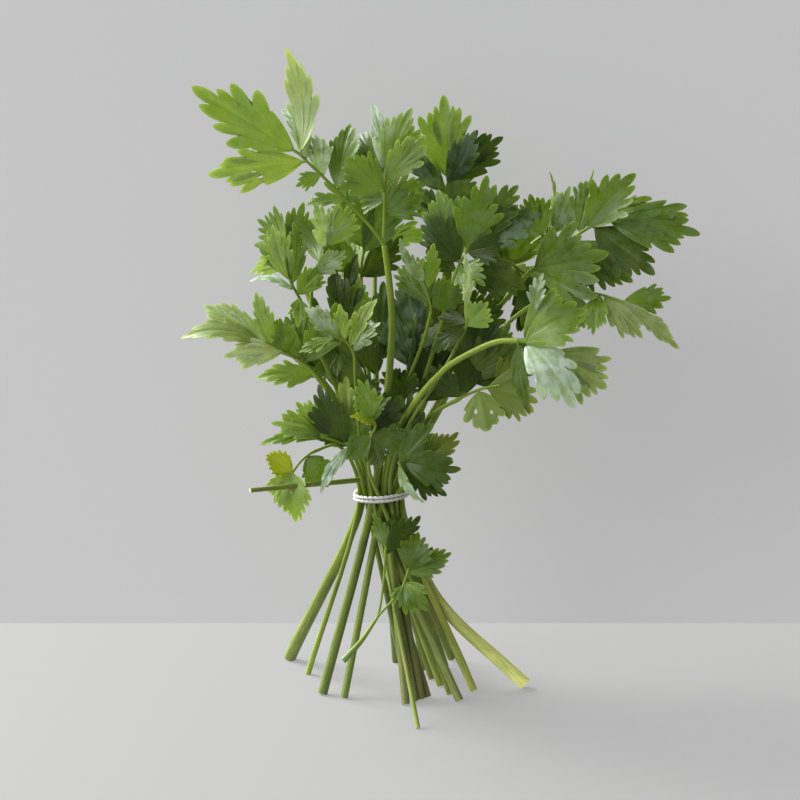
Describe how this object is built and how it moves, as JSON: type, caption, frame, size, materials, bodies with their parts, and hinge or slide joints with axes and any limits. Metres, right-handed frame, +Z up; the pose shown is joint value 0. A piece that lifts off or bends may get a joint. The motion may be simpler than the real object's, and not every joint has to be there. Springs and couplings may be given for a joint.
{
  "type": "parsley bunch",
  "caption": "Bunch of cut flat-leaf parsley: stems gathered by a double turn of cotton string, leaves spreading above and cut ends splayed below as a stand.",
  "frame": {"origin": "on the floor, under the middle of the bunch's bounding box", "axes": "+Z up along the bunch from the cut ends to the leaves; -Y towards the front, the side with the large drooping leaf; +X towards the right of the front"},
  "size_m": [0.2052, 0.135, 0.26],
  "materials": {
    "stem": "smooth, faintly ribbed, slightly waxy green plant stem",
    "leaf": "fresh green leaf, softly glossy above and paler beneath, with fine branching veins",
    "string": "matt undyed two-ply cotton string"
  },
  "bodies": {
    "root": {"stem_01": "stem", "stem_02": "stem", "stem_03": "stem", "stem_04": "stem", "stem_05": "stem", "stem_06": "stem", "stem_07": "stem", "stem_08": "stem", "stem_09": "stem", "stem_10": "stem", "stem_11": "stem", "stem_12": "stem", "stem_13": "stem", "stem_14": "stem", "stem_15": "stem", "stem_16": "stem", "stem_17": "stem", "stem_18": "stem", "stem_19": "stem", "stem_20": "stem", "stem_21": "stem", "stem_22": "stem", "stem_23": "stem", "stem_24": "stem", "stem_stub": "stem", "tie_string": "string", "leaf_01a": "leaf", "leaf_01b": "leaf", "leaf_02": "leaf", "leaf_03a": "leaf", "leaf_03b": "leaf", "leaf_04": "leaf", "leaf_05": "leaf", "leaf_06": "leaf", "leaf_07": "leaf", "leaf_08a": "leaf", "leaf_08b": "leaf", "leaf_09": "leaf", "leaf_10a": "leaf", "leaf_10b": "leaf", "leaf_11a": "leaf", "leaf_11b": "leaf", "leaf_12": "leaf", "leaf_13a": "leaf", "leaf_13b": "leaf", "leaf_14": "leaf", "leaf_15": "leaf", "leaf_16": "leaf", "leaf_17": "leaf", "leaf_18": "leaf", "leaf_19": "leaf", "leaf_20a": "leaf", "leaf_20b": "leaf", "leaf_21": "leaf", "leaf_22a": "leaf", "leaf_22b": "leaf", "leaf_23a": "leaf", "leaf_23b": "leaf", "leaf_24a": "leaf", "leaf_24b": "leaf"}
  },
  "joints": []
}
